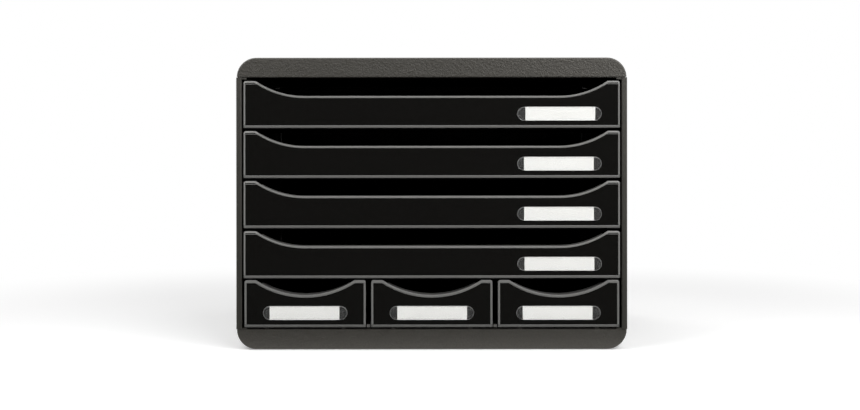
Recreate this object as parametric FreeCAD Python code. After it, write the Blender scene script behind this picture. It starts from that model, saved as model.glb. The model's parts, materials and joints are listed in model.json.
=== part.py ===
import FreeCAD, Part
import math
import os

# A desktop drawer unit for A4 paper: four wide drawers over one row of three small ones, in a
# plastic case of two rounded caps, two side walls, a back panel and the caps' inner panels.
# Sizes are in millimetres. X is across the front, Y runs from the front (low) to the back,
# Z is up, and the origin is on the desk under the middle of the unit.

# Case as a whole
case_width = 355.0
case_depth = 270.0

# Caps
top_cap_height = 17.9
bottom_cap_height = 18.1
cap_corner_radius = 17.8
cap_inset = 0.5
cap_skin = 2.5
cap_edge_round = 1.2
cap_seam_height = 0.6
cap_seam_depth = 0.9
cap_rib_thickness = 1.6
cap_cross_ribs = 3
cap_long_ribs = 4

# Side walls
wall_thickness = 2.2
post_width = 5.0
post_depth = 8.0
post_round = 1.0
flange_reach = 9.5
top_flange_thickness = 1.8
bottom_flange_thickness = 1.0
ledge_reach = 8.0
ledge_thickness = 2.0
ledge_drop = 0.5
rear_rib_reach = 3.0
rear_rib_depth = 2.0
tongue_thickness = 1.6
tongue_width = 14.0
tongue_height = 7.0
tongue_skin_gap = 1.9

# Back panel, and the inner panels of the two caps
back_thickness = 2.0
back_tongue = 6.0
ceiling_thickness = 2.0
floor_thickness = 2.0
rail_width = 3.2
rail_height = 4.0
rail_nose_depth = 3.0
strip_width = 3.0
strip_spacing = 70.0
slot_width = 7.0
slot_front_margin = 6.0

# Feet
foot_height = 0.6
foot_radius = 9.0
foot_seat_depth = 0.5
foot_inset = 35.0
foot_chamfer = 0.4

# Fronts of the drawers
wide_rows = 4
small_columns = 3
wide_side_gap = 1.5
small_side_gap = 2.2
column_gap = 4.9
under_gap = 1.6
small_row_gap = 1.8
wide_row_gap = 2.8
over_gap = 3.2
wide_front_height = 42.7
small_front_height = 42.8
front_setback = 1.0
front_thickness = 2.5
front_low_round = 0.5
front_high_round = 2.2
wide_bead_side = 1.65
small_bead_side = 2.0
bead_bottom = 2.5
wide_bead_scoop = 2.0
wide_bead_ear = 3.1
small_bead_scoop = 2.6
small_bead_ear = 2.8
bead_height = 1.0
bead_round = 0.8
ear_band_height = 1.6
ear_groove_height = 0.8

# Finger scoops and their lips
wide_ear = 11.0
wide_scoop_flat = 232.0
wide_scoop_depth = 13.6
small_ear = 10.3
small_scoop_depth = 13.4
ear_round = 0.8
lip_end_gap = 2.0
wide_lip_depth = 7.5
small_lip_depth = 11.0
lip_thickness = 2.2

# Trays behind the fronts
tray_wall = 2.0
tray_floor = 2.0
tray_side_setback = 1.0
tray_top_drop = 2.4
tray_corner_round = 6.0
tray_back_gap = 1.5
drawer_travel = 190.0
lug_length = 8.0
lug_height = 12.0
lug_base = 12.0
lug_catch = 1.0
peg_width = 6.0
peg_length = 5.0
peg_depth = 1.0

# Label holders
window_length = 76.8
window_height = 12.6
window_thickness = 1.0
window_round = 0.35
card_length = 64.0
card_thickness = 0.3
pocket_depth = 1.0
wide_label_side = 16.4
label_centre = 12.9

# Clearances, and how far a cutting shape stands out of what it cuts
fit_gap = 0.1
loose_gap = 0.2
run_gap = 0.3
overcut = 1.0

# How far apart two lengths may be that count as the same
same = 0.001

# Places worked out from the sizes above
half_width = case_width / 2
front_y = -case_depth / 2
rear_y = case_depth / 2
cap_half_width = half_width - cap_inset
floor_top = foot_height + bottom_cap_height
small_base = floor_top + under_gap
first_wide_base = small_base + small_front_height + small_row_gap
wide_pitch = wide_front_height + wide_row_gap
wall_top = first_wide_base + wide_rows * wide_pitch - wide_row_gap + over_gap
case_top = wall_top + top_cap_height
wall_inner = half_width - wall_thickness
post_inner = half_width - post_width
post_rear_y = front_y + post_depth
tongue_outer = cap_half_width - cap_skin - tongue_skin_gap
tongue_inner = tongue_outer - tongue_thickness
back_rear_y = rear_y - cap_skin - fit_gap
back_front_y = back_rear_y - back_thickness
rear_rib_front_y = back_front_y - fit_gap - rear_rib_depth
face_y = front_y + front_setback
field_y = face_y + bead_height
plate_rear_y = field_y + front_thickness
tray_rear_y = rear_rib_front_y - tray_back_gap
wide_front_width = 2 * (post_inner - wide_side_gap)
small_row_width = 2 * (post_inner - small_side_gap)
small_front_width = (small_row_width - (small_columns - 1) * column_gap) / small_columns
column_pitch = small_front_width + column_gap


def block(low, high):
    """A box between two corners."""
    size = [high[i] - low[i] for i in range(3)]
    return Part.makeBox(size[0], size[1], size[2], FreeCAD.Vector(*low))


def fuse_all(solids):
    """One solid out of several that touch."""
    return solids[0].fuse(solids[1:]).removeSplitter()


def point(x, z):
    return FreeCAD.Vector(x, 0, z)


def line(start, end):
    return Part.makeLine(start, end)


def arc(start, middle, end):
    return Part.Arc(start, middle, end).toShape()


def pushed_back(face, from_y, to_y):
    """A front view drawn at y = 0, made a solid between two depths."""
    moved = face.translated(FreeCAD.Vector(0, from_y, 0))
    return moved.extrude(FreeCAD.Vector(0, to_y - from_y, 0))


def edges_at_depth(solid, depth):
    """The edges of a solid that lie wholly at one depth."""
    found = []
    for edge in solid.Edges:
        box = edge.BoundBox
        if abs(box.YMin - depth) < same and abs(box.YMax - depth) < same:
            found.append(edge)
    return found


def upright_edges(solid, at_y):
    """The vertical edges of a solid at one depth."""
    found = []
    for edge in edges_at_depth(solid, at_y):
        box = edge.BoundBox
        if box.XLength < same and box.ZLength > same:
            found.append(edge)
    return found


# Caps: a skin with two round corners, open on the side that meets the walls
def cap_face(half, height, radius):
    """Front view of a cap that rests on z = 0 with its round corners up."""
    turn = radius * (1 - math.sqrt(0.5))
    left_low = point(-half, 0)
    left_high = point(-half, height - radius)
    left_turn = point(-half + turn, height - turn)
    left_flat = point(-half + radius, height)
    right_flat = point(half - radius, height)
    right_turn = point(half - turn, height - turn)
    right_high = point(half, height - radius)
    right_low = point(half, 0)
    edges = [
        line(left_low, left_high),
        arc(left_high, left_turn, left_flat),
        line(left_flat, right_flat),
        arc(right_flat, right_turn, right_high),
        line(right_high, right_low),
        line(right_low, left_low),
    ]
    return Part.Face(Part.Wire(edges))


def cap_ribs(height, rim_gap):
    """Stiffening ribs across and along the hollow of a cap, rim_gap short of its open side."""
    inner_half = cap_half_width - cap_skin
    ribs = []
    for index in range(cap_cross_ribs):
        middle = front_y + case_depth * (index + 1) / (cap_cross_ribs + 1)
        low = (-inner_half, middle - cap_rib_thickness / 2, rim_gap)
        high = (inner_half, middle + cap_rib_thickness / 2, height)
        ribs.append(block(low, high))
    for index in range(cap_long_ribs):
        middle = -half_width + case_width * (index + 1) / (cap_long_ribs + 1)
        low = (middle - cap_rib_thickness / 2, front_y + cap_skin, rim_gap)
        high = (middle + cap_rib_thickness / 2, rear_y - cap_skin, height)
        ribs.append(block(low, high))
    return ribs


def cap_seam():
    """The shadow line round the foot of a cap, where it stands on the walls."""
    around = block(
        (-half_width, front_y - overcut, -overcut),
        (half_width, rear_y + overcut, cap_seam_height),
    )
    foot_half = cap_half_width - cap_seam_depth
    kept = block(
        (-foot_half, front_y + cap_seam_depth, -overcut),
        (foot_half, rear_y - cap_seam_depth, cap_seam_height),
    )
    return around.cut(kept)


def cap(height, rim_gap):
    """A cap with its open side down at z = 0."""
    radius = min(cap_corner_radius, height - fit_gap)
    outside = pushed_back(cap_face(cap_half_width, height, radius), front_y, rear_y)
    rounded = []
    for depth in (front_y, rear_y):
        rounded += [edge for edge in edges_at_depth(outside, depth) if edge.BoundBox.ZMax > same]
    outside = outside.makeFillet(cap_edge_round, rounded)
    outside = outside.cut(cap_seam())
    hollow_face = cap_face(cap_half_width - cap_skin, height - cap_skin, radius - cap_skin)
    hollow = pushed_back(hollow_face, front_y + cap_skin, rear_y - cap_skin)
    ribs = fuse_all(cap_ribs(height, rim_gap)).common(hollow)
    back_room = block(
        (-half_width, back_front_y - loose_gap, -overcut),
        (half_width, rear_y - cap_skin, back_tongue + loose_gap),
    )
    return outside.cut(hollow).fuse(ribs.cut(back_room)).removeSplitter()


def top_cap():
    return cap(top_cap_height, ceiling_thickness).translated(FreeCAD.Vector(0, 0, wall_top))


def foot_places():
    across = half_width - foot_inset
    along = case_depth / 2 - foot_inset
    return {
        "foot_front_left": (-across, -along),
        "foot_front_right": (across, -along),
        "foot_rear_left": (-across, along),
        "foot_rear_right": (across, along),
    }


def bottom_cap():
    """The same cover as the top one, turned over, with a shallow round seat for each foot."""
    turned = cap(bottom_cap_height, floor_thickness)
    turned = turned.mirror(FreeCAD.Vector(0, 0, 0), FreeCAD.Vector(0, 0, 1))
    turned = turned.translated(FreeCAD.Vector(0, 0, floor_top))
    seats = []
    for place in foot_places().values():
        centre = FreeCAD.Vector(place[0], place[1], foot_height)
        seats.append(Part.makeCylinder(foot_radius + loose_gap, foot_seat_depth, centre))
    return turned.cut(seats)


def foot(place):
    centre = FreeCAD.Vector(place[0], place[1], 0)
    pad = Part.makeCylinder(foot_radius, foot_height + foot_seat_depth, centre)
    rim = [edge for edge in pad.Edges if edge.BoundBox.ZMax < same and edge.BoundBox.XLength > same]
    return pad.makeChamfer(foot_chamfer, rim)


# Side walls: panel, front post, flanges, ledges and clip tongues in one moulding
def wide_bases():
    """Heights of the undersides of the wide fronts, from the top row down."""
    return [first_wide_base + (wide_rows - 1 - row) * wide_pitch for row in range(wide_rows)]


def right_wall():
    panel = block((wall_inner, front_y, floor_top), (half_width, rear_y, wall_top))
    post = block((post_inner, front_y, floor_top), (half_width, post_rear_y, wall_top))
    body = panel.fuse(post).removeSplitter()
    body = body.makeFillet(post_round, upright_edges(body, front_y))
    flange_inner = half_width - flange_reach
    parts = [
        body,
        block(
            (flange_inner, front_y + post_round, wall_top - top_flange_thickness),
            (half_width - post_round, rear_y, wall_top),
        ),
        block(
            (flange_inner, front_y + post_round, floor_top),
            (half_width - post_round, rear_y, floor_top + bottom_flange_thickness),
        ),
        block(
            (wall_inner - rear_rib_reach, rear_rib_front_y, floor_top),
            (wall_inner, rear_rib_front_y + rear_rib_depth, wall_top),
        ),
    ]
    for base in wide_bases():
        low = (wall_inner - ledge_reach, post_rear_y, base + ledge_drop)
        high = (wall_inner, rear_rib_front_y, base + ledge_drop + ledge_thickness)
        parts.append(block(low, high))
    for bay in range(cap_cross_ribs + 1):
        middle = front_y + case_depth * (bay + 0.5) / (cap_cross_ribs + 1)
        for low_z, high_z in ((wall_top, wall_top + tongue_height), (floor_top - tongue_height, floor_top)):
            low = (tongue_inner, middle - tongue_width / 2, low_z)
            high = (tongue_outer, middle + tongue_width / 2, high_z)
            parts.append(block(low, high))
    return fuse_all(parts)


def mirrored(solid):
    return solid.mirror(FreeCAD.Vector(0, 0, 0), FreeCAD.Vector(1, 0, 0))


# Back panel: reaches up and down inside the caps, and is notched round the wall flanges
def back_panel():
    half = wall_inner - fit_gap
    panel = block(
        (-half, back_front_y, floor_top - back_tongue),
        (half, back_rear_y, wall_top + back_tongue),
    )
    inner = half_width - flange_reach - loose_gap
    notches = []
    for low_z, high_z in (
        (floor_top - back_tongue - overcut, floor_top + bottom_flange_thickness + fit_gap),
        (wall_top - top_flange_thickness - fit_gap, wall_top + back_tongue + overcut),
    ):
        low = (inner, back_front_y - overcut, low_z)
        high = (half + overcut, back_rear_y + overcut, high_z)
        notch = block(low, high)
        notches += [notch, mirrored(notch)]
    return panel.cut(notches)


def column_centres():
    middle = (small_columns - 1) / 2
    return [(index - middle) * column_pitch for index in range(small_columns)]


# Places along Y of the stop peg of a small drawer, when it is shut
peg_stop_y = front_y + cap_skin + slot_front_margin
peg_front_y = peg_stop_y + drawer_travel + run_gap


def inner_panel(low_z, high_z):
    """Panel that closes the hollow of a cap, between its skirts and the wall tongues."""
    half = tongue_inner - run_gap
    low = (-half, front_y + cap_skin + fit_gap, low_z)
    high = (half, back_front_y - fit_gap, high_z)
    return block(low, high)


def ceiling_panel():
    return inner_panel(wall_top, wall_top + ceiling_thickness)


def floor_panel():
    """Floor of the small row: glide strips, guide rails with a raised nose, and stop slots."""
    panel = inner_panel(floor_top - floor_thickness, floor_top)
    front = panel.BoundBox.YMin
    rear = panel.BoundBox.YMax
    parts = [panel]
    strip_top = small_base - run_gap
    slots = []
    for centre in column_centres():
        for side in (-1, 1):
            middle = centre + side * strip_spacing / 2
            low = (middle - strip_width / 2, front, floor_top)
            high = (middle + strip_width / 2, rear, strip_top)
            parts.append(block(low, high))
        low = (centre - slot_width / 2, peg_stop_y, floor_top - floor_thickness - overcut)
        high = (centre + slot_width / 2, peg_front_y + peg_length + run_gap, floor_top + overcut)
        slots.append(block(low, high))
    for index in range(small_columns - 1):
        middle = column_centres()[index] + column_pitch / 2
        low = (middle - rail_width / 2, front + rail_nose_depth, floor_top)
        high = (middle + rail_width / 2, rear, floor_top + rail_height)
        nose_low = (middle - rail_width / 2, front, small_base)
        nose_high = (middle + rail_width / 2, front + rail_nose_depth, floor_top + rail_height)
        parts += [block(low, high), block(nose_low, nose_high)]
    return fuse_all(parts).cut(slots)


# Drawers
def scooped_face(width, height, ear, flat, depth):
    """Front view of a drawer front that stands on z = 0, with a finger scoop in its top edge."""
    half = width / 2
    run = half - ear - flat / 2
    radius = (run * run + depth * depth) / (2 * depth)
    half_turn = math.asin(run / radius) / 2
    low_z = height - depth
    across = radius * math.sin(half_turn)
    turn_z = low_z + radius * (1 - math.cos(half_turn))
    edges = [
        line(point(-half, 0), point(-half, height)),
        line(point(-half, height), point(-half + ear, height)),
        arc(point(-half + ear, height), point(-flat / 2 - across, turn_z), point(-flat / 2, low_z)),
    ]
    if flat > 0:
        edges.append(line(point(-flat / 2, low_z), point(flat / 2, low_z)))
    edges += [
        arc(point(flat / 2, low_z), point(flat / 2 + across, turn_z), point(half - ear, height)),
        line(point(half - ear, height), point(half, height)),
        line(point(half, height), point(half, 0)),
        line(point(half, 0), point(-half, 0)),
    ]
    return Part.Face(Part.Wire(edges))


def stadium_face(length, height, x, z):
    """A bar with half-round ends, centred on x and z."""
    radius = height / 2
    straight = length / 2 - radius
    edges = [
        line(point(x - straight, z - radius), point(x + straight, z - radius)),
        arc(point(x + straight, z - radius), point(x + length / 2, z), point(x + straight, z + radius)),
        line(point(x + straight, z + radius), point(x - straight, z + radius)),
        arc(point(x - straight, z + radius), point(x - length / 2, z), point(x - straight, z - radius)),
    ]
    return Part.Face(Part.Wire(edges))


def corner_edges(solid, places):
    """The edges along Y that run through the given places of the front view."""
    found = []
    for edge in solid.Edges:
        box = edge.BoundBox
        if box.XLength > same or box.ZLength > same:
            continue
        for x, z in places:
            if abs(box.XMin - x) < same and abs(box.ZMin - z) < same:
                found.append(edge)
    return found


def field_face(width, height, ear, flat, depth, side_bead, scoop_bead, ear_bead):
    """Front view of the field inside the bead, whose scoop runs level with the scoop outside it."""
    run = width / 2 - ear - flat / 2
    radius = (run * run + depth * depth) / (2 * depth) + scoop_bead
    field_depth = depth + scoop_bead - ear_bead
    field_run = math.sqrt(radius * radius - (radius - field_depth) ** 2)
    field_width = width - 2 * side_bead
    field_ear = field_width / 2 - flat / 2 - field_run
    field_height = height - bead_bottom - ear_bead
    face = scooped_face(field_width, field_height, field_ear, flat, field_depth)
    return face.translated(FreeCAD.Vector(0, 0, bead_bottom))


def ear_grooves():
    """Two short grooves along the ears of a wide front, just under the rounded top of the bead."""
    outer = wide_front_width / 2 - wide_bead_side
    inner = wide_front_width / 2 - wide_ear
    high_z = wide_front_height - ear_band_height
    groove = block((inner, face_y - overcut, high_z - ear_groove_height), (outer, field_y, high_z))
    return [groove, mirrored(groove)]


def drawer_front(width, height, ear, flat, depth, side_bead, scoop_bead, ear_bead, lip_depth, label_x):
    """Front plate with its raised bead, label pocket and a lip behind the scoop, standing on z = 0."""
    face = scooped_face(width, height, ear, flat, depth)
    half = width / 2
    plate = pushed_back(face, face_y, plate_rear_y)
    lip_half = half - ear - lip_end_gap
    lip_room = block(
        (-lip_half, field_y, height - depth - lip_thickness - overcut),
        (lip_half, plate_rear_y + lip_depth, height),
    )
    lip = pushed_back(face, field_y, plate_rear_y + lip_depth).common(lip_room)
    below = pushed_back(face, plate_rear_y, plate_rear_y + lip_depth + overcut)
    lip = lip.cut(below.translated(FreeCAD.Vector(0, 0, -lip_thickness)))
    front = plate.fuse(lip).removeSplitter()
    front = front.makeFillet(front_low_round, corner_edges(front, [(-half, 0), (half, 0)]))
    front = front.makeFillet(front_high_round, corner_edges(front, [(-half, height), (half, height)]))
    inner = [(-half + ear, height), (half - ear, height)]
    front = front.makeFillet(ear_round, corner_edges(front, inner))
    field = field_face(width, height, ear, flat, depth, side_bead, scoop_bead, ear_bead)
    front = front.cut(pushed_back(field, face_y - overcut, field_y))
    front = front.makeFillet(bead_round, edges_at_depth(front, face_y))
    pocket = stadium_face(window_length + 2 * fit_gap, window_height + 2 * fit_gap, label_x, label_centre)
    return front.cut(pushed_back(pocket, field_y - overcut, field_y + pocket_depth))


def tray_shell(width, base, top):
    """Three walls and a floor behind a front plate."""
    half = width / 2 - tray_side_setback
    outside = block((-half, plate_rear_y, base), (half, tray_rear_y, top))
    outside = outside.makeFillet(tray_corner_round, upright_edges(outside, tray_rear_y))
    inside = block(
        (-half + tray_wall, plate_rear_y, base + tray_floor),
        (half - tray_wall, tray_rear_y - tray_wall, top + overcut),
    )
    inner_round = max(tray_corner_round - tray_wall, fit_gap)
    inside = inside.makeFillet(inner_round, upright_edges(inside, tray_rear_y - tray_wall))
    return outside.cut(inside)


def wide_tray():
    """A wide drawer with its underside at z = 0, its tray raised to ride on the ledges."""
    label_x = wide_front_width / 2 - wide_label_side - window_length / 2
    front = drawer_front(
        wide_front_width, wide_front_height, wide_ear, wide_scoop_flat, wide_scoop_depth,
        wide_bead_side, wide_bead_scoop, wide_bead_ear, wide_lip_depth, label_x,
    ).cut(ear_grooves())
    base = ledge_drop + ledge_thickness + run_gap
    shell = tray_shell(wide_front_width, base, wide_front_height - tray_top_drop)
    lug_front = post_rear_y + drawer_travel + run_gap
    inner = wide_front_width / 2 - tray_side_setback
    outer = post_inner + lug_catch
    lugs = []
    for low_x, high_x in ((-outer, -inner), (inner, outer)):
        low = (low_x, lug_front, lug_base)
        high = (high_x, lug_front + lug_length, lug_base + lug_height)
        lugs.append(block(low, high))
    return fuse_all([front, shell] + lugs)


def small_tray():
    """A small drawer with its underside at z = 0 and a stop peg below it."""
    front = drawer_front(
        small_front_width, small_front_height, small_ear, 0.0, small_scoop_depth,
        small_bead_side, small_bead_scoop, small_bead_ear, small_lip_depth, 0.0,
    )
    shell = tray_shell(small_front_width, 0.0, small_front_height - tray_top_drop)
    peg = block(
        (-peg_width / 2, peg_front_y, -under_gap - peg_depth),
        (peg_width / 2, peg_front_y + peg_length, 0.0),
    )
    return fuse_all([front, shell, peg])


def label_window(label_x):
    card_front = field_y + pocket_depth - card_thickness
    face = stadium_face(window_length, window_height, label_x, label_centre)
    window = pushed_back(face, card_front - window_thickness, card_front)
    return window.makeChamfer(window_round, edges_at_depth(window, card_front - window_thickness))


def label_card(label_x):
    rear = field_y + pocket_depth
    half_height = window_height / 2
    low = (label_x - card_length / 2, rear - card_thickness, label_centre - half_height)
    high = (label_x + card_length / 2, rear, label_centre + half_height)
    return block(low, high)


def all_nodes():
    """Every piece under its own name."""
    wall = right_wall()
    nodes = {
        "top_cap": top_cap(),
        "bottom_cap": bottom_cap(),
        "left_wall": mirrored(wall),
        "right_wall": wall,
        "back_panel": back_panel(),
        "ceiling_panel": ceiling_panel(),
        "floor_panel": floor_panel(),
    }
    for name, place in foot_places().items():
        nodes[name] = foot(place)
    label_x = wide_front_width / 2 - wide_label_side - window_length / 2
    wide_pieces = {"tray": wide_tray(), "window": label_window(label_x), "card": label_card(label_x)}
    for row, base in enumerate(wide_bases()):
        for piece, solid in wide_pieces.items():
            nodes[f"wide_{piece}_{row + 1}"] = solid.translated(FreeCAD.Vector(0, 0, base))
    small_pieces = {"tray": small_tray(), "window": label_window(0.0), "card": label_card(0.0)}
    for place, centre in zip(("left", "middle", "right"), column_centres()):
        for piece, solid in small_pieces.items():
            nodes[f"small_{piece}_{place}"] = solid.translated(FreeCAD.Vector(centre, 0, small_base))
    return nodes


os.makedirs("parts", exist_ok=True)
for name, shape in all_nodes().items():
    if not shape.isValid():
        raise ValueError(f"{name} is not a valid solid")
    shape.exportStep(f"parts/{name}.step")
    box = shape.BoundBox
    print(name, len(shape.Solids), round(shape.Volume / 1000, 2), "cm3",
          [round(value, 2) for value in (box.XMin, box.XMax, box.YMin, box.YMax, box.ZMin, box.ZMax)])
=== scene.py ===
import json
import math
import bmesh
import bpy
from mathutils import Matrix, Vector


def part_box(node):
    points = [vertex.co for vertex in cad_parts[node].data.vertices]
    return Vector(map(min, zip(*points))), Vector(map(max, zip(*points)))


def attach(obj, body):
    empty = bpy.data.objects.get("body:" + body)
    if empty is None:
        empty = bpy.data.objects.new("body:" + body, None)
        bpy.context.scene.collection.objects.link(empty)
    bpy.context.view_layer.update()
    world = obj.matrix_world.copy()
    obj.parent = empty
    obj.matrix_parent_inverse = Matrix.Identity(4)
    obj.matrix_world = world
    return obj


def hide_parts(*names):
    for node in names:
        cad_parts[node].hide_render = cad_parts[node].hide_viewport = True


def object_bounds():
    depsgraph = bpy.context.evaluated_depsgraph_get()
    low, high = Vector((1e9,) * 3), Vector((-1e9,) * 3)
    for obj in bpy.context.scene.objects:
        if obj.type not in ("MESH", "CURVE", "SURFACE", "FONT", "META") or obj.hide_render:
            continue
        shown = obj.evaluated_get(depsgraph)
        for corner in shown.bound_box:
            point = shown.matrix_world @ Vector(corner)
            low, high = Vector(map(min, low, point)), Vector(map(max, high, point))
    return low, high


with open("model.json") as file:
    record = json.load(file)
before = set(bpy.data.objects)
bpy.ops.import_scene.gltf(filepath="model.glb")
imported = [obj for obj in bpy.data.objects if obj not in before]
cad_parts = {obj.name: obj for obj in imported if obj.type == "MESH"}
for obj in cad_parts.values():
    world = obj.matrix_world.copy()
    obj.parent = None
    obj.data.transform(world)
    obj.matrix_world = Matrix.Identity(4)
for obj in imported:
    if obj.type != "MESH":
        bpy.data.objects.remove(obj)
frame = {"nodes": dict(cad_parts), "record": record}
cad_low, cad_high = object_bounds()
scene = bpy.context.scene
scene.view_settings.view_transform = "Standard"

# Camera
# The unit is seen straight from the front, a little below its top drawer, and its uprights stay
# parallel, so the camera is level and its frame is shifted down. The picture leans very slightly.
picture_width = 860
picture_height = 410
case_left, case_right, case_bottom = 236.05, 627.3, 349.2
camera_distance = 1.2
camera_height = 0.2
camera_lean = 0.05
front_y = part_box("left_wall")[0].y
wall_low, wall_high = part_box("right_wall")
case_foot_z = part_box("bottom_cap")[0].z
pixels_per_metre = (case_right - case_left) / (2 * wall_high.x)
middle_z = case_foot_z + (case_bottom - picture_height / 2) / pixels_per_metre
camera_data = bpy.data.cameras.new("camera")
camera_data.sensor_width = 36.0
camera_data.lens = pixels_per_metre * camera_distance * camera_data.sensor_width / picture_width
camera_data.shift_y = (middle_z - camera_height) * pixels_per_metre / picture_width
camera_data.clip_start = 0.05
camera_data.clip_end = 30.0
camera = bpy.data.objects.new("camera", camera_data)
camera_x = (picture_width / 2 - (case_left + case_right) / 2) / pixels_per_metre
camera.location = (camera_x, front_y - camera_distance, camera_height)
camera.rotation_euler = (math.radians(90), math.radians(camera_lean), 0)
scene.collection.objects.link(camera)
scene.camera = camera


# Studio
# Small soft lamps stand round the front, the strongest above the camera on its right, and one lies
# overhead and one behind for the top and the back. The room is white wherever the camera, a
# reflection or a clear piece looks into it, and lights the unit only weakly.
def soft_lamp(name, place, aim, width, height, power):
    data = bpy.data.lights.new(name, "AREA")
    data.shape = "RECTANGLE"
    data.size = width
    data.size_y = height
    data.energy = power
    lamp = bpy.data.objects.new(name, data)
    lamp.location = place
    lamp.rotation_euler = (Vector(aim) - Vector(place)).to_track_quat("-Z", "Y").to_euler()
    scene.collection.objects.link(lamp)


unit_middle = (0, front_y, (cad_low.z + cad_high.z) / 2)
soft_lamp("lamp_high_right", (0.55, -1.5, 0.9), unit_middle, 0.6, 0.6, 7.4)
soft_lamp("lamp_low_right", (0.95, -1.0, 0.55), unit_middle, 0.7, 0.7, 2.8)
soft_lamp("lamp_near_right", (0.42, -0.55, 0.62), unit_middle, 0.4, 0.4, 2.3)
soft_lamp("lamp_near_left", (-0.42, -0.55, 0.62), unit_middle, 0.4, 0.4, 2.3)
soft_lamp("lamp_above", (0.1, -0.1, 1.1), unit_middle, 1.0, 0.8, 2.8)
soft_lamp("lamp_behind", (-0.5, 1.3, 0.9), unit_middle, 1.0, 0.8, 8.0)


def add_node(tree, kind, **values):
    """A new shader node with its plain settings and its unlinked inputs filled in."""
    node = tree.nodes.new(kind)
    for name, value in values.items():
        if hasattr(node, name):
            setattr(node, name, value)
        else:
            node.inputs[name.replace("_", " ")].default_value = value
    return node


def seen_directly(tree):
    """1 for a ray from the camera, a mirror or a clear piece, and 0 for one that only lights."""
    path = add_node(tree, "ShaderNodeLightPath")
    first = add_node(tree, "ShaderNodeMath", operation="MAXIMUM")
    second = add_node(tree, "ShaderNodeMath", operation="MAXIMUM")
    tree.links.new(path.outputs["Is Camera Ray"], first.inputs[0])
    tree.links.new(path.outputs["Is Glossy Ray"], first.inputs[1])
    tree.links.new(first.outputs[0], second.inputs[0])
    tree.links.new(path.outputs["Is Transmission Ray"], second.inputs[1])
    return second.outputs[0]


room_light = 0.15
room = bpy.data.worlds.new("room")
room.use_nodes = True
room.node_tree.nodes.clear()
lighting = add_node(room.node_tree, "ShaderNodeBackground", Strength=room_light)
backdrop = add_node(room.node_tree, "ShaderNodeBackground", Strength=1.0)
for background in (lighting, backdrop):
    background.inputs["Color"].default_value = (1, 1, 1, 1)
room_mix = add_node(room.node_tree, "ShaderNodeMixShader")
room_output = add_node(room.node_tree, "ShaderNodeOutputWorld")
room.node_tree.links.new(seen_directly(room.node_tree), room_mix.inputs["Fac"])
room.node_tree.links.new(lighting.outputs[0], room_mix.inputs[1])
room.node_tree.links.new(backdrop.outputs[0], room_mix.inputs[2])
room.node_tree.links.new(room_mix.outputs[0], room_output.inputs["Surface"])
scene.world = room


def flat_sheet(name, corners, material):
    """A four-cornered sheet that belongs to the studio."""
    mesh = bpy.data.meshes.new(name)
    mesh.from_pydata(corners, [], [(0, 1, 2, 3)])
    mesh.materials.append(material)
    sheet = bpy.data.objects.new(name, mesh)
    scene.collection.objects.link(sheet)
    return sheet


# Pale table: it keeps the shadow of the unit and turns to the white of the room farther out.
table_reach = 8.0
fade_start, fade_end = 0.15, 0.5
near_glow = 0.3
table_colour = (0.88, 0.88, 0.88, 1)
table_material = bpy.data.materials.new("pale_table")
table_material.use_nodes = True
table_tree = table_material.node_tree
table_shader = table_tree.nodes["Principled BSDF"]
table_shader.inputs["Base Color"].default_value = table_colour
table_shader.inputs["Roughness"].default_value = 0.9
table_shader.inputs["Specular IOR Level"].default_value = 0.0
table_place = add_node(table_tree, "ShaderNodeTexCoord")
table_across = add_node(table_tree, "ShaderNodeVectorMath", operation="ABSOLUTE")
table_tree.links.new(table_place.outputs["Object"], table_across.inputs[0])
table_outside = add_node(table_tree, "ShaderNodeVectorMath", operation="SUBTRACT")
table_outside.inputs[1].default_value = (cad_high.x, cad_high.y, 0)
table_tree.links.new(table_across.outputs[0], table_outside.inputs[0])
table_beyond = add_node(table_tree, "ShaderNodeVectorMath", operation="MAXIMUM")
table_beyond.inputs[1].default_value = (0, 0, 0)
table_tree.links.new(table_outside.outputs[0], table_beyond.inputs[0])
table_distance = add_node(table_tree, "ShaderNodeVectorMath", operation="LENGTH")
table_tree.links.new(table_beyond.outputs[0], table_distance.inputs[0])
fade = add_node(
    table_tree, "ShaderNodeMapRange", interpolation_type="SMOOTHSTEP",
    From_Min=fade_start, From_Max=fade_end,
)
table_tree.links.new(table_distance.outputs["Value"], fade.inputs["Value"])
table_seen = seen_directly(table_tree)
near_share = add_node(table_tree, "ShaderNodeMath", operation="MULTIPLY")
near_share.inputs[1].default_value = near_glow
table_tree.links.new(table_seen, near_share.inputs[0])
glow_near = add_node(table_tree, "ShaderNodeEmission")
table_tree.links.new(near_share.outputs[0], glow_near.inputs["Strength"])
glow_far = add_node(table_tree, "ShaderNodeEmission", Strength=1.0)
for glow in (glow_near, glow_far):
    glow.inputs["Color"].default_value = (1, 1, 1, 1)
table_near = add_node(table_tree, "ShaderNodeAddShader")
table_tree.links.new(table_shader.outputs[0], table_near.inputs[0])
table_tree.links.new(glow_near.outputs[0], table_near.inputs[1])
fade_seen = add_node(table_tree, "ShaderNodeMath", operation="MULTIPLY")
table_tree.links.new(fade.outputs["Result"], fade_seen.inputs[0])
table_tree.links.new(table_seen, fade_seen.inputs[1])
table_mix = add_node(table_tree, "ShaderNodeMixShader")
table_tree.links.new(fade_seen.outputs[0], table_mix.inputs["Fac"])
table_tree.links.new(table_near.outputs[0], table_mix.inputs[1])
table_tree.links.new(glow_far.outputs[0], table_mix.inputs[2])
table_tree.links.new(table_mix.outputs[0], table_tree.nodes["Material Output"].inputs["Surface"])
flat_sheet("table", [
    (-table_reach, -table_reach, 0), (table_reach, -table_reach, 0),
    (table_reach, table_reach, 0), (-table_reach, table_reach, 0),
], table_material)

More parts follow.
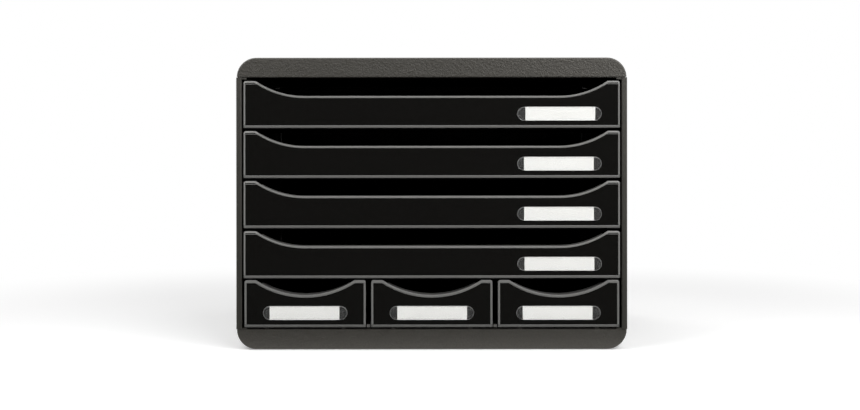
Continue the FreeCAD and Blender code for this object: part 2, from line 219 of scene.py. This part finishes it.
# Black cards out of the picture, one behind the camera and one on the table before the unit. The
# glossy fronts mirror them, and the clear windows show them, which keeps both deep black. The one
# on the table is as wide as the fronts mirror it, and thins out softly at its sides.
card_reach = 1.6
card_top = 0.9
card_back_y = front_y - camera_distance - 0.2
card_near_y = front_y - 0.025
card_lift = 0.002
card_core = 0.17
card_spread = 0.38
card_soft_edge = 0.1
black_colour = (0.01, 0.01, 0.01, 1)


def black_card(name, corners):
    """A card of black felt that only mirrors and clear pieces see."""
    felt = bpy.data.materials.new(name)
    felt.use_nodes = True
    shader = felt.node_tree.nodes["Principled BSDF"]
    shader.inputs["Base Color"].default_value = black_colour
    shader.inputs["Roughness"].default_value = 1.0
    shader.inputs["Specular IOR Level"].default_value = 0.0
    card = flat_sheet(name, corners, felt)
    card.visible_camera = False
    card.visible_diffuse = False
    card.visible_shadow = False
    return felt.node_tree


black_card("black_card_back", [
    (-card_reach, card_back_y, 0), (card_reach, card_back_y, 0),
    (card_reach, card_back_y, card_top), (-card_reach, card_back_y, card_top),
])
low_tree = black_card("black_card_low", [
    (-card_reach, card_back_y, card_lift), (card_reach, card_back_y, card_lift),
    (card_reach, card_near_y, card_lift), (-card_reach, card_near_y, card_lift),
])
low_place = add_node(low_tree, "ShaderNodeTexCoord")
low_axes = add_node(low_tree, "ShaderNodeSeparateXYZ")
low_tree.links.new(low_place.outputs["Object"], low_axes.inputs["Vector"])
low_across = add_node(low_tree, "ShaderNodeMath", operation="ABSOLUTE")
low_tree.links.new(low_axes.outputs["X"], low_across.inputs[0])
low_outside = add_node(low_tree, "ShaderNodeMath", operation="MULTIPLY_ADD")
low_outside.inputs[1].default_value = card_spread
low_tree.links.new(low_axes.outputs["Y"], low_outside.inputs[0])
low_tree.links.new(low_across.outputs[0], low_outside.inputs[2])
low_thin = add_node(
    low_tree, "ShaderNodeMapRange", interpolation_type="SMOOTHSTEP",
    From_Min=card_core + card_spread * front_y,
    From_Max=card_core + card_spread * front_y + card_soft_edge,
)
low_tree.links.new(low_outside.outputs[0], low_thin.inputs["Value"])
low_mix = add_node(low_tree, "ShaderNodeMixShader")
low_clear = add_node(low_tree, "ShaderNodeBsdfTransparent")
low_tree.links.new(low_thin.outputs["Result"], low_mix.inputs["Fac"])
low_tree.links.new(low_tree.nodes["Principled BSDF"].outputs[0], low_mix.inputs[1])
low_tree.links.new(low_clear.outputs[0], low_mix.inputs[2])
low_tree.links.new(low_mix.outputs[0], low_tree.nodes["Material Output"].inputs["Surface"])


# Case covers
# The top and bottom covers are one kind of moulding in black plastic with a fine cast grain, which
# breaks up the light into small specks.
def new_finish(name, colour, roughness, specular, tint=(1, 1, 1)):
    """A material whose main shader has its colour, roughness and gloss set."""
    finish = bpy.data.materials.new(name)
    finish.use_nodes = True
    shader = finish.node_tree.nodes["Principled BSDF"]
    shader.inputs["Base Color"].default_value = (*colour, 1)
    shader.inputs["Roughness"].default_value = roughness
    shader.inputs["Specular IOR Level"].default_value = specular
    shader.inputs["Specular Tint"].default_value = (*tint, 1)
    return finish


cloud_share = 0.2
cloud_size = 4.0
noise_low, noise_high = 0.35, 0.65


def add_grain(finish, size, depth, light, dark, colour, polish=0.0):
    """Cast grain: bumps of one size and depth, with colour and polish varying between them."""
    tree = finish.node_tree
    shader = tree.nodes["Principled BSDF"]
    place = add_node(tree, "ShaderNodeTexCoord")
    fine = add_node(tree, "ShaderNodeTexNoise", Scale=1 / size, Detail=3.0, Roughness=0.6)
    broad = add_node(tree, "ShaderNodeTexNoise", Scale=1 / (cloud_size * size), Detail=2.0, Roughness=0.5)
    for noise in (fine, broad):
        tree.links.new(place.outputs["Object"], noise.inputs["Vector"])
    both = add_node(tree, "ShaderNodeMath", operation="MULTIPLY_ADD")
    both.inputs[1].default_value = cloud_share
    tree.links.new(broad.outputs["Fac"], both.inputs[0])
    half = add_node(tree, "ShaderNodeMath", operation="MULTIPLY")
    half.inputs[1].default_value = 1 - cloud_share
    tree.links.new(fine.outputs["Fac"], half.inputs[0])
    tree.links.new(half.outputs[0], both.inputs[2])
    tint = add_node(tree, "ShaderNodeMapRange", From_Min=noise_low, From_Max=noise_high, To_Min=dark, To_Max=light)
    tree.links.new(both.outputs[0], tint.inputs["Value"])
    paint = add_node(tree, "ShaderNodeVectorMath", operation="SCALE")
    paint.inputs[0].default_value = colour
    tree.links.new(tint.outputs["Result"], paint.inputs["Scale"])
    tree.links.new(paint.outputs["Vector"], shader.inputs["Base Color"])
    if polish:
        rough = shader.inputs["Roughness"].default_value
        worn = add_node(tree, "ShaderNodeMapRange", From_Min=noise_low, From_Max=noise_high)
        worn.inputs["To Min"].default_value = rough + polish
        worn.inputs["To Max"].default_value = rough - polish
        tree.links.new(both.outputs[0], worn.inputs["Value"])
        tree.links.new(worn.outputs["Result"], shader.inputs["Roughness"])
    bump = add_node(tree, "ShaderNodeBump", Distance=depth, Strength=1.0)
    tree.links.new(fine.outputs["Fac"], bump.inputs["Height"])
    tree.links.new(bump.outputs["Normal"], shader.inputs["Normal"])


def dress(node_name, finish):
    """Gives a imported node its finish."""
    slots = frame["nodes"][node_name].data.materials
    slots.clear()
    slots.append(finish)


cover_colour = (0.0105, 0.0094, 0.0070)
warm_gloss = (1.0, 0.965, 0.9)
cover_finish = new_finish("grained_cover", cover_colour, 0.5, 0.86, warm_gloss)
add_grain(cover_finish, 0.0016, 0.00038, 1.35, 0.65, cover_colour, 0.1)
dress("top_cap", cover_finish)
dress("bottom_cap", cover_finish)

# Side walls
# Each wall is one moulding: a panel with a thicker front post, flanges, ledges for the drawers to
# run on and tongues that clip into the covers. The grain is finer than on the covers.
wall_colour = (0.0095, 0.0092, 0.0070)
wall_finish = new_finish("matte_wall", wall_colour, 0.5, 0.74, warm_gloss)
add_grain(wall_finish, 0.0012, 0.00018, 1.15, 0.85, wall_colour, 0.05)
dress("left_wall", wall_finish)
dress("right_wall", wall_finish)

# Inner panels
# The back panel and the two panels that close the hollows of the covers are plain mouldings.
panel_colour = (0.0095, 0.0092, 0.0076)
panel_finish = new_finish("inner_panel", panel_colour, 0.45, 0.66, warm_gloss)
add_grain(panel_finish, 0.0014, 0.00012, 1.2, 0.8, panel_colour, 0.06)
for panel in ("back_panel", "ceiling_panel"):
    dress(panel, panel_finish)

# Floor panel
# The panel under the small drawers is moulded in the same plastic. The noses of its two guide rails
# show between the fronts, and their grey is a painted highlight like the one on the beads beside them.
nose_highlight_colour = (0.085, 0.084, 0.08)
nose_front_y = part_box("floor_panel")[0].y
nose_top_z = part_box("floor_panel")[1].z
nose_height = 0.0028
nose_depth = 0.0005


def calculate(tree, operation, first, second):
    """One sum on two values, each of them a number or an output."""
    node = add_node(tree, "ShaderNodeMath", operation=operation)
    for socket, value in zip(node.inputs, (first, second)):
        if isinstance(value, (int, float)):
            socket.default_value = value
        else:
            tree.links.new(value, socket)
    return node.outputs[0]


floor_finish = new_finish("inner_floor", panel_colour, 0.45, 0.66, warm_gloss)
add_grain(floor_finish, 0.0014, 0.00012, 1.2, 0.8, panel_colour, 0.06)
floor_tree = floor_finish.node_tree
floor_paint = floor_tree.nodes["Principled BSDF"].inputs["Base Color"]
floor_place = add_node(floor_tree, "ShaderNodeTexCoord")
floor_axes = add_node(floor_tree, "ShaderNodeSeparateXYZ")
floor_tree.links.new(floor_place.outputs["Object"], floor_axes.inputs["Vector"])
# The faces of the rail noses get a grey painted highlight.
at_front = calculate(floor_tree, "LESS_THAN", floor_axes.outputs["Y"], nose_front_y + nose_depth)
at_nose = calculate(floor_tree, "GREATER_THAN", floor_axes.outputs["Z"], nose_top_z - nose_height)
floor_mix = add_node(floor_tree, "ShaderNodeMix", data_type="RGBA")
floor_mix.inputs["B"].default_value = (*nose_highlight_colour, 1)
floor_tree.links.new(calculate(floor_tree, "MULTIPLY", at_front, at_nose), floor_mix.inputs["Factor"])
floor_tree.links.new(floor_paint.links[0].from_socket, floor_mix.inputs["A"])
floor_tree.links.new(floor_mix.outputs["Result"], floor_paint)
dress("floor_panel", floor_finish)

# Feet
# Four round pads of soft black rubber, each pressed into a shallow seat under the bottom cover.
foot_finish = new_finish("foot_rubber", (0.02, 0.02, 0.02), 0.85, 0.3)
add_grain(foot_finish, 0.0006, 0.00004, 1.2, 0.8, (0.02, 0.02, 0.02))
for node_name in frame["nodes"]:
    if node_name.startswith("foot_"):
        dress(node_name, foot_finish)

# Drawers
# Each drawer is one moulding of tray and front in polished black plastic. The bead round the front
# and the top of the lip behind the scoop are rougher, and their grey colour is a painted highlight
# for the light their rounded edges catch.
face_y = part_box("wide_tray_1")[0].y
front_heights = {"wide": 0.0427, "small": 0.0428}
# Strength of the painted highlight on the beads of each row, and on the ear bands below.
bead_highlight_shares = {"wide": 0.74, "small": 0.6}
ear_band = 0.0022
ear_highlight_shares = {"wide": 1.0, "small": 0.62}
bead_height = 0.001
bead_full, bead_gone = 0.55, 0.85
upward_least = 0.35
plate_depth = 0.0035
lip_reach = 0.0148
scoop_room = 0.02
wall_drop = 0.003
bottom_bead_height = 0.003
field_colour = (0.0055, 0.0053, 0.0048)
# Grey painted highlight on the black bead and on the up-facing plate and lip tops.
bead_highlight_colour = (0.223, 0.222, 0.213)
lip_highlight_share = 0.75
bottom_painted_shade = 0.62
field_roughness = 0.12
bead_roughness = 0.35
peel_size = 0.005
peel_depth = 0.00004
peel_polish = 0.06


def drawer_finish(node_name):
    """Gloss black, with a painted grey highlight on the bead, the top of the plate and the top of the lip."""
    low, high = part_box(node_name)
    row = node_name.split("_")[0]
    base_z = high.z - front_heights[row]
    finish = new_finish("gloss_" + node_name, field_colour, field_roughness, 0.35)
    tree = finish.node_tree
    shader = tree.nodes["Principled BSDF"]
    place = add_node(tree, "ShaderNodeTexCoord")
    axes = add_node(tree, "ShaderNodeSeparateXYZ")
    tree.links.new(place.outputs["Object"], axes.inputs["Vector"])
    surface = add_node(tree, "ShaderNodeNewGeometry")
    facing = add_node(tree, "ShaderNodeSeparateXYZ")
    tree.links.new(surface.outputs["Normal"], facing.inputs["Vector"])
    depth, height = axes.outputs["Y"], axes.outputs["Z"]
    bead = add_node(
        tree, "ShaderNodeMapRange", interpolation_type="SMOOTHSTEP",
        From_Min=face_y + bead_full * bead_height, From_Max=face_y + bead_gone * bead_height,
        To_Min=1.0, To_Max=0.0,
    )
    tree.links.new(depth, bead.inputs["Value"])
    # Painted shade: the highlight on the bottom bead is darkened, as its lower half faces down away from the
    # light.
    bottom = calculate(tree, "LESS_THAN", height, base_z + bottom_bead_height)
    bead_highlight = calculate(tree, "SUBTRACT", 1.0, calculate(tree, "MULTIPLY", bottom, 1 - bottom_painted_shade))
    # Plate and lip tops that face up get a lighter painted highlight.
    upward = calculate(tree, "GREATER_THAN", facing.outputs["Z"], upward_least)
    high_up = calculate(tree, "GREATER_THAN", height, high.z - scoop_room)
    upward = calculate(tree, "MULTIPLY", upward, high_up)
    on_plate = calculate(tree, "LESS_THAN", depth, face_y + plate_depth)
    on_lip = calculate(tree, "LESS_THAN", depth, face_y + lip_reach)
    below_walls = calculate(tree, "LESS_THAN", height, high.z - wall_drop)
    on_lip = calculate(tree, "MULTIPLY", on_lip, below_walls)
    top = calculate(tree, "MULTIPLY", upward, calculate(tree, "MAXIMUM", on_plate, on_lip))
    bead_part = calculate(tree, "MULTIPLY", bead.outputs["Result"], bead_highlight)
    painted_highlight = calculate(tree, "MAXIMUM", bead_part, calculate(tree, "MULTIPLY", top, lip_highlight_share))
    # The ear band at the top of each front gets a brighter painted highlight.
    on_ear = calculate(tree, "GREATER_THAN", height, high.z - ear_band)
    highlight_level = add_node(tree, "ShaderNodeMapRange", To_Min=bead_highlight_shares[row], To_Max=ear_highlight_shares[row])
    tree.links.new(on_ear, highlight_level.inputs["Value"])
    painted_highlight = calculate(tree, "MULTIPLY", painted_highlight, highlight_level.outputs["Result"])
    colour = add_node(tree, "ShaderNodeMix", data_type="RGBA")
    colour.inputs["A"].default_value = (*field_colour, 1)
    colour.inputs["B"].default_value = (*bead_highlight_colour, 1)
    tree.links.new(painted_highlight, colour.inputs["Factor"])
    tree.links.new(colour.outputs["Result"], shader.inputs["Base Color"])
    rough = add_node(tree, "ShaderNodeMapRange", To_Min=field_roughness, To_Max=bead_roughness)
    tree.links.new(calculate(tree, "MAXIMUM", bead.outputs["Result"], top), rough.inputs["Value"])
    peel = add_node(tree, "ShaderNodeTexNoise", Scale=1 / peel_size, Detail=3.0)
    tree.links.new(place.outputs["Object"], peel.inputs["Vector"])
    uneven = calculate(tree, "MULTIPLY", calculate(tree, "SUBTRACT", peel.outputs["Fac"], 0.5), peel_polish)
    tree.links.new(calculate(tree, "ADD", rough.outputs["Result"], uneven), shader.inputs["Roughness"])
    bump = add_node(tree, "ShaderNodeBump", Distance=peel_depth, Strength=1.0)
    tree.links.new(peel.outputs["Fac"], bump.inputs["Height"])
    tree.links.new(bump.outputs["Normal"], shader.inputs["Normal"])
    return finish


for node_name in frame["nodes"]:
    if "_tray_" in node_name:
        dress(node_name, drawer_finish(node_name))

# Label cards
# A strip of plain white paper behind each window, cut to the straight part of the holder. It lies
# loose there, so it has slipped a little to one side or the other.
card_colour = (0.80, 0.80, 0.78)
card_slips = {
    "wide_card_1": 0.0008, "wide_card_2": -0.0006, "wide_card_3": -0.0005, "wide_card_4": -0.0001,
    "small_card_left": -0.0006, "small_card_middle": 0.0003, "small_card_right": -0.0008,
}
card_trim = 0.0003
card_finish = new_finish("label_card", card_colour, 0.8, 0.2)
add_grain(card_finish, 0.0007, 0.000006, 1.01, 0.99, card_colour)


def carrier(node_name):
    """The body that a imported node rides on."""
    for body, names in frame["record"]["behaviour"]["bodies"].items():
        if node_name in names:
            return body


def new_piece(name, bm, finish, node_name):
    """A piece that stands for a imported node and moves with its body."""
    bmesh.ops.recalc_face_normals(bm, faces=bm.faces)
    mesh = bpy.data.meshes.new(name)
    bm.to_mesh(mesh)
    bm.free()
    mesh.materials.append(finish)
    piece = bpy.data.objects.new(name, mesh)
    scene.collection.objects.link(piece)
    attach(piece, carrier(node_name))
    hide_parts(node_name)
    return piece


def paper_card(node_name, slip):
    low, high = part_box(node_name)
    bm = bmesh.new()
    bmesh.ops.create_cube(bm, size=1.0)
    size = high - low
    middle = (low + high) / 2
    for vert in bm.verts:
        vert.co.x = middle.x + slip + vert.co.x * (size.x - 2 * card_trim)
        vert.co.y = middle.y + vert.co.y * size.y
        vert.co.z = middle.z + vert.co.z * size.z
    bmesh.ops.subdivide_edges(bm, edges=bm.edges[:], cuts=3, use_grid_fill=True)
    new_piece("paper_" + node_name, bm, card_finish, node_name)


for node_name, slip in card_slips.items():
    paper_card(node_name, slip)

# Label windows
# A clear plastic bar with round ends and a rounded rim, snapped into a shallow pocket of the front.
# No card reaches its ends, so the black of the pocket shows through them.
window_rim = 0.0007
rim_steps = 6
end_steps = 20


def clear_plastic(name, colour, roughness, clearness):
    """Clear plastic that lets the lamps through to what lies behind it."""
    finish = new_finish(name, colour, roughness, 0.5)
    tree = finish.node_tree
    shader = tree.nodes["Principled BSDF"]
    shader.inputs["Transmission Weight"].default_value = clearness
    shader.inputs["IOR"].default_value = 1.49
    clear = add_node(tree, "ShaderNodeBsdfTransparent")
    path = add_node(tree, "ShaderNodeLightPath")
    lighting = calculate(tree, "MAXIMUM", path.outputs["Is Shadow Ray"], path.outputs["Is Diffuse Ray"])
    mix = add_node(tree, "ShaderNodeMixShader")
    tree.links.new(lighting, mix.inputs["Fac"])
    tree.links.new(shader.outputs[0], mix.inputs[1])
    tree.links.new(clear.outputs[0], mix.inputs[2])
    tree.links.new(mix.outputs[0], tree.nodes["Material Output"].inputs["Surface"])
    return finish


window_finish = clear_plastic("clear_window", (0.95, 0.95, 0.94), 0.06, 0.98)
edge_finish = clear_plastic("frosted_edge", (0.85, 0.85, 0.84), 0.3, 0.9)


def stadium_ring(bm, middle, half_length, radius, depth):
    """A closed ring of points round a bar with half-round ends, all at one depth."""
    straight = half_length - radius
    ring = []
    for side in (1, -1):
        for step in range(end_steps + 1):
            turn = math.pi * (step / end_steps - 0.5)
            x = side * (straight + radius * math.cos(turn))
            z = side * radius * math.sin(turn)
            ring.append(bm.verts.new((middle.x + x, depth, middle.z + z)))
    return ring


def clear_window(node_name):
    low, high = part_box(node_name)
    middle = (low + high) / 2
    half_length = (high.x - low.x) / 2
    radius = (high.z - low.z) / 2
    bm = bmesh.new()
    rings = [stadium_ring(bm, middle, half_length, radius, high.y)]
    for step in range(rim_steps + 1):
        turn = math.pi / 2 * step / rim_steps
        inset = window_rim * (1 - math.cos(turn))
        depth = low.y + window_rim * (1 - math.sin(turn))
        rings.append(stadium_ring(bm, middle, half_length - inset, radius - inset, depth))
    for outer, inner in zip(rings, rings[1:]):
        for index in range(len(outer)):
            after = (index + 1) % len(outer)
            side = bm.faces.new((outer[index], outer[after], inner[after], inner[index]))
            side.smooth = True
            side.material_index = 1
    bm.faces.new(rings[0])
    bm.faces.new(rings[-1])
    window = new_piece("clear_" + node_name, bm, window_finish, node_name)
    window.data.materials.append(edge_finish)


for node_name in frame["nodes"]:
    if "_window_" in node_name:
        clear_window(node_name)
